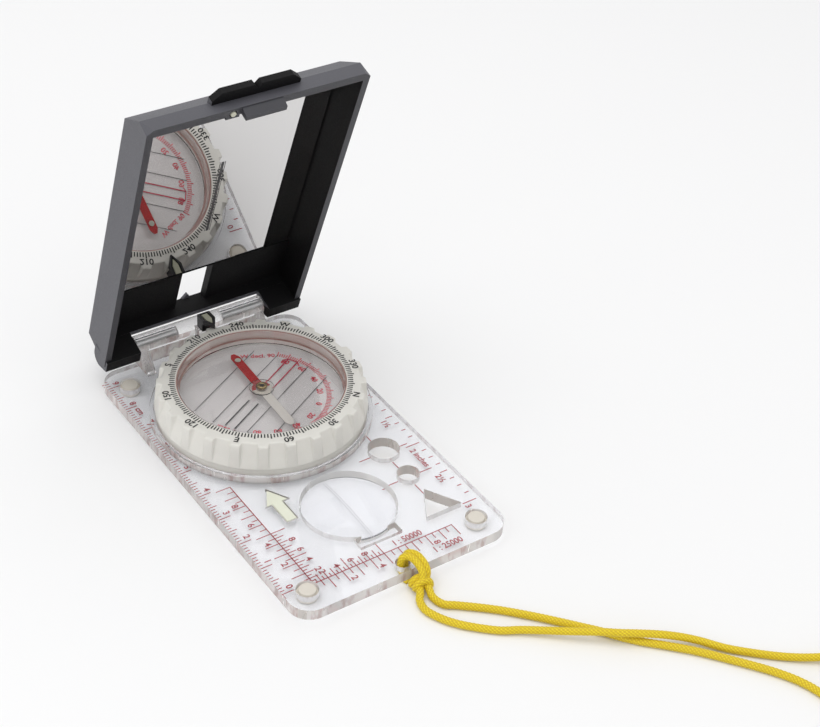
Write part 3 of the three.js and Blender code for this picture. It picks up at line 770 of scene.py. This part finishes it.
def lens_line():
    """The fine double line across the lens, along the line of sight."""
    bm = bmesh.new()
    y, half = LENS["y"], LENS_LINE["half"]
    for x in (-LENS_LINE["apart"], LENS_LINE["apart"]):
        line(bm, (x, y - half), (x, y + half), LENS_LINE["width"], PRINT_Z)
    return printed(bm, "lens_line")


def make_lens(seat):
    """The magnifier and the line across it."""
    tint = (0.97, 0.97, 0.98, 1)
    clear = clear_material("clear_lens", (0.935, 0.94, 0.962, 1), 1.49, 0.01, tint, 0.95)
    mesh = mark_walls(lens_mesh())
    # The lens's upright rim wall takes the near-white seat tone, a painted highlight.
    place("lens", mesh, "base", [clear, seat], replaces=("magnifier_lens",))
    place("lens_line", lens_line(), "base", ink("lens_line_ink", srgb(186, 186, 188), 0.1))


def make_feet():
    """The rubber feet, which pass through the plate's corners."""
    rubber = moulded("foot_rubber", srgb(218, 212, 201), 0.75, 0.5, 0.05)
    for corner, centre in FEET.items():
        node = "foot_" + corner
        mesh = lathe(node, FOOT_PROFILE, 64, centre)
        place("pad_" + corner, mesh, "base", rubber, replaces=(node,))


def make_bracket(rims):
    """The clear bracket with the hinge barrel."""
    tint = (0.96, 0.96, 0.96, 1)
    milky = clear_material("bracket_clear", (0.97, 0.97, 0.975, 1), 1.49, 0.03, tint, 0.9)
    mesh = mark_walls(finish_mesh(refined("hinge_bracket", 0.3), "bracket"))
    # The bracket's upright walls take the lighter rim tone: painted light, with bands of painted
    # reflection.
    place("bracket", mesh, "base", [milky, rims], replaces=("hinge_bracket",))


def make_index():
    """The black index that overhangs the bezel and its pale insert."""
    black = moulded("index_black", srgb(28, 27, 29), 0.42, 0.6, 0.02)
    rounded_copy("index", "index_pointer", 0.15, "base", black)
    pale = moulded("index_lume", srgb(172, 172, 152), 0.6, 0.4, 0.03)
    rounded_copy("index_insert", "index_inlay", 0.08, "base", pale)


def make_base():
    """Everything that is fixed to the plate."""
    # Three tones of one frosted acrylic for the walls: the hole walls darker as painted shade, the outer
    # walls and the bezel's seat lighter as painted light with pink bands of painted reflection, and the
    # walls round lens and feet near white as a painted highlight.
    walls = frosted_material("acrylic_walls_painted_shade", (0.68, 0.64, 0.60, 1), streaks=0.012)
    pink_reflection = (0.62, 0.50, 0.48, 1)
    rims = frosted_material("acrylic_rims_painted_light", (0.90, 0.87, 0.85, 1), 0.5, 0.2, 0.004, pink_reflection)
    seat = frosted_material("lens_seat_painted_highlight", (0.96, 0.95, 0.94, 1), 0.3, 0.2, 0.004)
    make_plate(walls, rims, seat)
    make_lens(seat)
    lume = moulded("lume_paint", srgb(228, 230, 212), 0.6, 0.4, 0.03)
    rounded_copy("arrow_inlay", "direction_arrow", 0.12, "base", lume)
    make_feet()
    make_bracket(rims)
    make_index()


# -------- bezel

# (radius, z) points up the ring's bore, up a tooth, up a finger recess and across the top
BEZEL_BORE = [(22.2, 3.4), (27.8, 3.4), (27.8, 6.0), (27.97, 6.2)]
TOOTH = [
    (28.0, 6.4), (27.95, 6.8), (27.7, 9.2), (27.4, 12.1), (27.3, 12.7),
    (27.2, 12.95), (27.0, 13.1), (26.7, 13.17), (26.3, 13.2), (25.6, 13.26),
]
RECESS = [
    (28.0, 6.4), (27.93, 6.75), (27.1, 9.2), (26.15, 12.1), (25.97, 12.7),
    (25.9, 12.95), (25.82, 13.1), (25.7, 13.2), (25.6, 13.24), (25.4, 13.27),
]
BEZEL_TOP = [(24.0, 13.38), (22.7, 13.48), (22.45, 13.48), (22.25, 13.4), (22.2, 13.25)]
GRIPS = 24
GRIP_RADIUS = 27.0  # where the grips' width and rounding are measured
GRIP_HALF = 4.3 / 2 / GRIP_RADIUS  # half a recess, in radians
GRIP_BLEND = 0.55 / GRIP_RADIUS  # the rounding between recess and tooth, in radians
GRIP_FLAT = 0.6  # share of a recess's width that its inner stations span
GRIP_FLANK = 0.45  # how far a tooth's outer station lies from its middle, as a share of its half


def grip_stations():
    """The bezel's profile stations: (angle, angle from the middle of the nearest recess)."""
    pitch = TAU / GRIPS
    edges = [GRIP_HALF + GRIP_BLEND / 2 - GRIP_BLEND * k / 5 for k in range(6)]
    flat = [GRIP_HALF * GRIP_FLAT * k for k in (1, 0.5, 0, -0.5, -1)]
    flank = pitch / 2 - (pitch / 2 - GRIP_HALF) * GRIP_FLANK
    offsets = sorted([-pitch / 2, -flank, *edges, *flat, *(-e for e in edges), flank])
    return [((i + 0.5) * pitch + offset, offset) for i in range(GRIPS) for offset in offsets]


def bezel_mesh():
    """A lathed ring whose outer wall steps between teeth and sloping finger recesses."""
    bm = bmesh.new()
    rings = []
    turn = math.radians(DIAL_TURN + 90)
    for angle, offset in grip_stations():
        inside = smooth_step((GRIP_HALF + GRIP_BLEND / 2 - abs(offset)) / GRIP_BLEND)
        flat_scale = 1 / math.cos(min(abs(offset), GRIP_HALF))
        profile = list(BEZEL_BORE)
        for (tooth_r, tooth_z), (recess_r, recess_z) in zip(TOOTH, RECESS):
            flat_r = min(recess_r * flat_scale, tooth_r)
            r = tooth_r + (flat_r - tooth_r) * inside
            profile.append((r, tooth_z + (recess_z - tooth_z) * inside))
        profile += BEZEL_TOP
        c, s = math.cos(angle + turn), math.sin(angle + turn)
        rings.append([bm.verts.new((r * c, r * s, z)) for r, z in profile])
    for ring, after in zip(rings, [*rings[1:], rings[0]]):
        bridge(bm, after, ring)
    return finish_mesh(scaled(bm), "bezel", 32)


def dial_point(radius, bearing):
    """A point at a bearing in degrees, clockwise from the dial's north mark."""
    turn = math.radians(90 + DIAL_TURN - bearing)
    return (radius * math.cos(turn), radius * math.sin(turn))


BEZEL_TICK = {"inner": 22.5, "outer": 23.85, "outer_ten": 24.25, "width": 0.34, "z": 13.42, "thick": 0.07}
BEZEL_FIGURE = {"radius": 25.1, "z": 13.33, "height": 1.75, "stretch": 1.1, "weight": 0.05}
DIAL_LETTERS = {0: "N", 90: "E", 180: "S", 270: "W"}


def bezel_print():
    """Two degree graduations and figures on the bezel's sloping top."""
    bm = bmesh.new()
    tick, figure = BEZEL_TICK, BEZEL_FIGURE
    for degree in range(0, 360, 2):
        outer = tick["outer_ten"] if degree % 10 == 0 else tick["outer"]
        start, end = dial_point(tick["inner"], degree), dial_point(outer, degree)
        line(bm, start, end, tick["width"], tick["z"], tick["thick"])
    for degree in range(0, 360, 30):
        x, y = dial_point(figure["radius"], degree)
        text = DIAL_LETTERS.get(degree, str(degree))
        heading = DIAL_TURN - degree
        figures(bm, text, x, y, figure["z"], figure["height"], heading, figure["stretch"], figure["weight"])
    return printed(bm, "bezel_print")


DISC = {"radius": 21.9, "bottom": 3.4, "top": 3.9}
DECLINATION = {"radius": 17.0, "tick": 1.3, "long_tick": 1.95, "width": 0.3}
DECLINATION_FIGURE = {"radius": 15.3, "height": 1.6}
DECLINATION_NAME = {"radius": 16.6, "height": 1.5}
DECLINATION_NAMES = {-108: "W decl. 90", 104: "90 E decl."}


def declination_print():
    """The red declination scale, 90 degrees to each side of the dial's north mark."""
    bm = bmesh.new()
    z = DISC["top"] + PRINT_Z
    radius, width = DECLINATION["radius"], DECLINATION["width"]
    for degree in range(-90, 91, 2):
        outer = radius + DECLINATION["tick" if degree % 10 else "long_tick"]
        line(bm, dial_point(radius, degree), dial_point(outer, degree), width, z)
    for degree in range(-80, 81, 20):
        x, y = dial_point(DECLINATION_FIGURE["radius"], degree)
        figures(bm, str(abs(degree)), x, y, z, DECLINATION_FIGURE["height"], DIAL_TURN - degree)
    for degree, text in DECLINATION_NAMES.items():
        x, y = dial_point(DECLINATION_NAME["radius"], degree)
        figures(bm, text, x, y, z, DECLINATION_NAME["height"], DIAL_TURN - degree)
    return printed(bm, "declination_print")


def make_disc():
    """The clear disc under the ring, with the declination scale on its top."""
    tint = (0.96, 0.96, 0.96, 1)
    clear = clear_material("disc_clear", (0.89, 0.87, 0.87, 1), 1.45, 0.03, tint, 0.55)
    radius, bottom, top = DISC["radius"], DISC["bottom"], DISC["top"]
    mesh = lathe("dial_disc", [(0, bottom), (radius, bottom), (radius, top), (0, top)])
    place("dial_disc", mesh, "bezel", clear, replaces=("declination_disc",))
    red = ink("declination_ink", srgb(200, 20, 56), 0.12)
    place("declination_print", declination_print(), "bezel", red)


def make_bezel():
    """The turning ring, its print and the disc under it."""
    cream = moulded("bezel_cream", srgb(223, 221, 214), 0.5, 0.5, 0.02)
    place("bezel", bezel_mesh(), "bezel", cream, replaces=("bezel_ring",))
    place("bezel_print", bezel_print(), "bezel", ink("dial_ink", srgb(22, 22, 24), 0.04))
    make_disc()


# -------- capsule and needle

CAPSULE = {"radius": 21.9, "bottom": 4.2, "top": 13.1}
SEALS = {
    "window_seal": [(21.92, 12.5), (22.18, 12.5), (22.18, 13.02), (21.92, 13.02)],
    "liquid_seal": [(21.2, 8.1), (21.8, 8.1), (21.8, 8.3), (21.2, 8.3)],
}
LINES_AZIMUTH = 61.0  # degrees clockwise from +Y to the lines' north end
LINES_Z = 4.4
THIN, BOLD = 0.2, 0.36
PAIR = 1.39  # the middle pair's lines lie this far to each side of the pivot
ARROW_HEAD = {"tip": 16.4, "barb": 2.5, "barb_end": 15.3, "width": 0.3}
# south end, north end, distance to each side of the pivot, width and ink of each pair of lines
ORIENTING_LINES = [
    (-14.9, 14.9, 11.15, THIN, "black"),
    (-16.4, 16.4, 4.77, THIN, "black"),
    (-15.9, -4.0, PAIR, BOLD, "black"),
    (3.4, ARROW_HEAD["tip"], PAIR, BOLD, "red"),
]


def capsule_body_mesh():
    """Cup, liquid and window as one clear body, with a small round along both rims."""
    radius, bottom, top = CAPSULE["radius"], CAPSULE["bottom"], CAPSULE["top"]
    foot = [(0, bottom), (radius - 0.5, bottom), (radius - 0.15, bottom + 0.15), (radius, bottom + 0.5)]
    head = [(radius, top - 0.35), (radius - 0.12, top - 0.1), (radius - 0.4, top), (0, top)]
    return lathe("capsule_body", foot + head, 160, smooth_angle=40)


def capsule_line(bm, start, end, width):
    """Adds a line on the capsule's floor between two (across, along) points."""
    turn = math.radians(LINES_AZIMUTH)
    ends = []
    for across, along in (start, end):
        x = along * math.sin(turn) + across * math.cos(turn)
        y = along * math.cos(turn) - across * math.sin(turn)
        ends.append((x, y))
    line(bm, *ends, width, LINES_Z)


def capsule_lines(wanted):
    """The orienting lines: black all over, but for the red north half of the middle pair."""
    bm = bmesh.new()
    for south, north, across, width, colour in ORIENTING_LINES:
        if colour == wanted:
            for side in (-across, across):
                capsule_line(bm, (side, south), (side, north), width)
    if wanted == "red":
        tip, width = ARROW_HEAD["tip"], ARROW_HEAD["width"]
        capsule_line(bm, (-PAIR, tip), (PAIR, tip), width)
        for side in (-1, 1):
            barb = (side * ARROW_HEAD["barb"], ARROW_HEAD["barb_end"])
            capsule_line(bm, (side * PAIR, tip), barb, width)
    return printed(bm, "orienting_" + wanted)


def make_capsule(steel):
    """The liquid-filled capsule with its lines, seals and pivot."""
    warm = (0.985, 0.98, 0.975, 1)
    clear = clear_material("capsule_clear", warm, 1.45, 0.01, warm, shine=0.08)
    # The capsule's upright wall is tinted pink as a painted reflection of the red print.
    pink_reflection = frosted_material("capsule_wall_pink_reflection", (0.88, 0.78, 0.73, 1), 0.3, 0.15, 0.004)
    place("capsule_body", mark_walls(capsule_body_mesh()), "capsule", [clear, pink_reflection],
          replaces=("capsule_cup", "capsule_window"))
    place("orienting_black", capsule_lines("black"), "capsule", ink("line_ink", srgb(62, 60, 62), 0.1))
    place("orienting_red", capsule_lines("red"), "capsule", ink("arrow_ink", srgb(200, 24, 66), 0.1))
    seal = moulded("capsule_seal", srgb(176, 140, 132), 0.4, 0.4, 0.01)
    for name, profile in SEALS.items():
        place(name, lathe(name, profile), "capsule", seal)
    rounded_copy("pivot", "pivot_post", 0.08, "capsule", steel)


JEWEL_PROFILE = [
    (0, 9.15), (1.45, 9.15), (1.5, 9.2), (1.5, 9.7), (1.35, 9.95), (1.1, 10.08), (0.85, 10.1),
    (0.6, 9.95), (0.5, 9.7), (0, 9.65),
]
JEWEL_HOLLOW = {"radius": 0.55, "above": 9.5}


def needle_mesh():
    """The blade: a red half to the north and a white half to the south, meeting at the pivot."""
    bm = refined("needle_blade", 0.06, 1, 60)
    turn = math.radians(NEEDLE_TURN)
    north = Vector((-math.sin(turn), math.cos(turn), 0))
    whole = [*bm.verts, *bm.edges, *bm.faces]
    bmesh.ops.bisect_plane(bm, geom=whole, plane_co=(0, 0, 0), plane_no=north)
    for face in bm.faces:
        face.material_index = 0 if face.calc_center_median().dot(north) > 0 else 1
    return finish_mesh(bm, "needle")


def make_blade():
    """The needle's blade and its luminous dot."""
    red = Surface("needle_red", srgb(180, 6, 8), 0.5, Specular_IOR_Level=0.15)
    patches = red.ramp(red.noise(2.0), 0.4, 0.7, 0, 1)
    red.feed("Base Color", red.mix(patches, srgb(184, 6, 8), srgb(164, 4, 6)))
    white = moulded("needle_white", srgb(226, 222, 216), 0.4, 0.5, 0.01)
    place("needle", needle_mesh(), "needle", [red.material, white], replaces=("needle_blade",))
    dot = moulded("needle_lume", srgb(190, 190, 176), 0.6, 0.3, 0.02)
    rounded_copy("needle_dot", "needle_lume_dot", 0.05, "needle", dot)


def make_jewel():
    """The brass cap with a dark hollow in its top."""
    brass = metal("cap_brass", srgb(172, 152, 108), 0.25)
    dark = moulded("cap_hollow", srgb(34, 30, 24), 0.5, 0.3, 0.01)
    mesh = lathe("jewel", JEWEL_PROFILE, 48)
    for face in mesh.polygons:
        x, y, z = face.center / MM
        if math.hypot(x, y) < JEWEL_HOLLOW["radius"] and z > JEWEL_HOLLOW["above"]:
            face.material_index = 1
    place("jewel", mesh, "needle", [brass, dark], replaces=("jewel_cap",))


def make_needle():
    """All that spins on the pivot."""
    make_blade()
    clear = clear_material("hub_clear", (0.93, 0.92, 0.89, 1), 1.5, 0.05, (0.95, 0.94, 0.92, 1))
    rounded_copy("hub", "needle_hub", 0.2, "needle", clear)
    make_jewel()


# -------- lid

# Places in the shut lid, from the hinge axis: to the side, out along the lid, and in height.
MIRROR_FACE = 5.83  # height of the silvered face
LID_END = 92.75  # the rear sight stands beyond the lid's end
LID_RIM = -3.3  # the rim that meets the plate lies below this
LID_CAVITY = {"half": 28.5, "start": 2.0, "end": 90.7, "top": 7.3}
# The toe by the hinge takes the near-black as painted shade.
LID_TOE = {"half": 29.5, "end": 2.5, "top": -1.0}
SIGHT_LINE = {"start": 34.2, "end": 61.2, "lift": 0.04}
SIGHT_STRIPES = {0: 0.8, -0.75: 0.15, 0.75: 0.15}  # place and width of the line and its pale edges


def lid_place(point):
    """A point in the shut lid's frame, in mm from the hinge axis: x, distance out, height."""
    local = Matrix.Rotation(LID_OPEN, 3, "X") @ (point / MM - HINGE)
    return local.x, -local.y, local.z


def lid_mesh():
    """The lid, with its inside, the toe by the hinge and the rear sight in a near-black second slot, partly
    painted shade, and its rim in a darker third slot as painted shade.
    """
    mesh = finish_mesh(refined("lid_shell", 0.3), "lid")
    up = Matrix.Rotation(-LID_OPEN, 3, "X") @ Vector((0, 0, 1))
    for face in mesh.polygons:
        x, out, height = lid_place(face.center)
        faces_in = face.normal.dot(up) < 0.2
        in_width = abs(x) < LID_CAVITY["half"] and LID_CAVITY["start"] < out < LID_CAVITY["end"]
        cavity = faces_in and in_width and LID_RIM < height < LID_CAVITY["top"]
        toe = out < LID_TOE["end"] and height < LID_TOE["top"] and abs(x) < LID_TOE["half"]
        if cavity or toe or out > LID_END:
            face.material_index = 1
        elif height < LID_RIM:
            face.material_index = 2
    return mesh


def sight_line():
    """The line down the mirror, dark with a pale edge to each side."""
    bm = bmesh.new()
    for x, width in SIGHT_STRIPES.items():
        start, end = (x, -SIGHT_LINE["start"]), (x, -SIGHT_LINE["end"])
        line(bm, start, end, width, MIRROR_FACE - SIGHT_LINE["lift"])
    turn = Matrix.Rotation(-LID_OPEN, 4, "X")
    return printed(bm, "sight_line", Matrix.Translation(HINGE) @ turn)


def make_shell():
    """The charcoal lid and the line printed on its mirror."""
    charcoal = moulded("lid_charcoal", srgb(82, 82, 88), 0.5, 0.35, 0.035)
    # Near-black for the inside, the toe and the rear sight: the inside's own black deepened by painted
    # shade, and painted shade on the toe.
    inside = moulded("lid_inside_black_and_shade", srgb(9, 8, 10), 0.62, 0.4, 0.02, shine=0.25)
    # A darker charcoal on the rim's lower faces, a painted-shade copy of the lid's charcoal.
    rim = moulded("lid_rim_painted_shade", srgb(58, 58, 63), 0.5, 0.35, 0.035)
    materials = [charcoal, inside, rim]
    place("lid", lid_mesh(), "lid", materials, replaces=("lid_shell",))
    place("sight_line", sight_line(), "lid", ink("sight_ink", srgb(40, 38, 40), 0.1))


def make_mirror():
    """The mirror, flat-shaded so that its reflection stays true."""
    silver = Surface("mirror_silver", (0.73, 0.72, 0.715, 1), 0.0, Metallic=1.0)
    silver.feed("Roughness", silver.ramp(silver.noise(8.0, 5.0), 0.5, 0.8, 0.0, 0.03))
    mesh = finish_mesh(refined("mirror", 0.15), "mirror_plate")
    mesh.shade_flat()
    place("mirror_plate", mesh, "lid", silver.material, replaces=("mirror",),
          flatten=False)


def make_lid(steel):
    """All that folds on the hinge."""
    make_shell()
    make_mirror()
    dot = moulded("lid_lume", srgb(206, 205, 186), 0.6, 0.3, 0.02)
    rounded_copy("lid_dot", "lid_lume_dot", 0.1, "lid", dot)
    for side in ("left", "right"):
        rounded_copy("pin_" + side, "hinge_pin_" + side, 0.15, "lid", steel)


# -------- studio

FLOOR_HALF = 1.5  # metres
SKY = {"horizon": (0.88, 0.88, 0.90, 1), "zenith": (1.0, 1.0, 1.0, 1), "strength": 0.86}


def make_floor():
    """A plain pale floor under the feet."""
    bm = bmesh.new()
    bmesh.ops.create_grid(bm, x_segments=8, y_segments=8, size=FLOOR_HALF)
    bmesh.ops.translate(bm, vec=(0, 0, FLOOR_Z * MM), verts=bm.verts)
    mesh = bpy.data.meshes.new("floor")
    bm.to_mesh(mesh)
    bm.free()
    floor = in_scene("floor", mesh)
    paper = Surface("floor_paper", (0.88, 0.88, 0.88, 1), 0.9)
    mesh.materials.append(paper.material)


def soft_light(name, place_at, target, size, power):
    """A white area lamp of size metres and power watts, aimed at target."""
    data = bpy.data.lights.new(name, "AREA")
    data.shape = "RECTANGLE"
    data.size, data.size_y = size
    data.energy = power
    light = in_scene(name, data)
    light.location = place_at
    aim = Vector(target) - Vector(place_at)
    light.rotation_mode = "QUATERNION"
    light.rotation_quaternion = aim.to_track_quat("-Z", "Y")


def soft_sky():
    """An even white surround, a little brighter overhead."""
    world = bpy.data.worlds.new("studio")
    world.use_nodes = True
    tree = world.node_tree
    background = tree.nodes["Background"]
    background.inputs["Strength"].default_value = SKY["strength"]
    direction = add_node(tree, "ShaderNodeTexCoord").outputs["Generated"]
    height = add_node(tree, "ShaderNodeSeparateXYZ", {"Vector": direction}).outputs["Z"]
    fade = add_node(tree, "ShaderNodeMapRange", {"Value": height}, From_Min=-0.2, From_Max=0.9)
    blend = add_node(tree, "ShaderNodeMix", {0: fade.outputs["Result"]}, data_type="RGBA")
    blend.inputs[6].default_value = SKY["horizon"]
    blend.inputs[7].default_value = SKY["zenith"]
    tree.links.new(blend.outputs[2], background.inputs["Color"])
    return world


def make_studio():
    """Floor, sky and two soft lamps."""
    make_floor()
    bpy.context.scene.world = soft_sky()
    soft_light("overhead", (-0.15, -0.05, 0.85), (0, -0.02, 0), (0.8, 0.6), 2.4)
    soft_light("left_fill", (-0.7, -0.1, 0.45), (0, 0, 0.02), (0.5, 0.5), 0.3)
    bpy.context.scene.view_settings.view_transform = "Standard"


make_camera()
make_cord()
make_base()
make_bezel()
pin_steel = metal("pin_steel", srgb(206, 206, 206), 0.34)
make_capsule(pin_steel)
make_needle()
make_lid(pin_steel)
make_studio()
